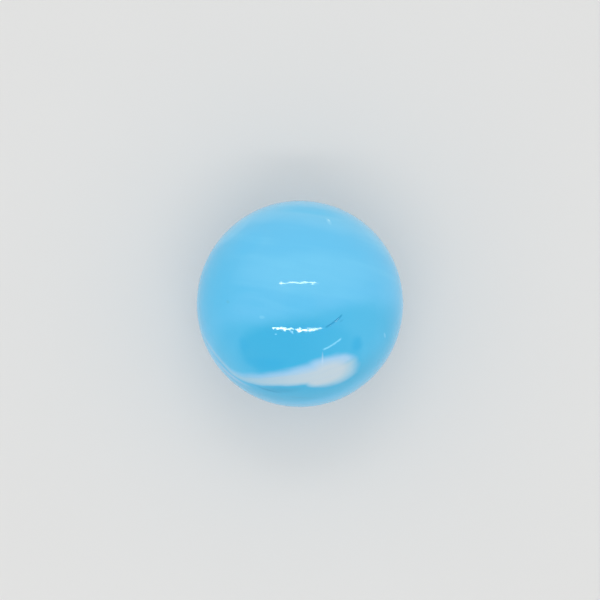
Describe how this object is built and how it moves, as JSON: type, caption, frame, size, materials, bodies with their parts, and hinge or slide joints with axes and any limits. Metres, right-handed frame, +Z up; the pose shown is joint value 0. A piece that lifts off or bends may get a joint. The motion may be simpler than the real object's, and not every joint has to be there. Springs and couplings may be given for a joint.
{
  "type": "glass marble",
  "caption": "Round ball of opaque sky-blue glass with a white teardrop vein, a deeper blue streak and fine shear creases; rolls freely.",
  "frame": {"origin": "centre of the ball", "axes": "+Z up through the side that shows the vein, creases to the right of it; the ball is round about every axis"},
  "size_m": [0.016, 0.016, 0.016],
  "materials": {
    "swirled_glass": "polished, opaque, white vein fused in"
  },
  "bodies": {
    "root": {"marble": "swirled_glass"}
  },
  "joints": []
}
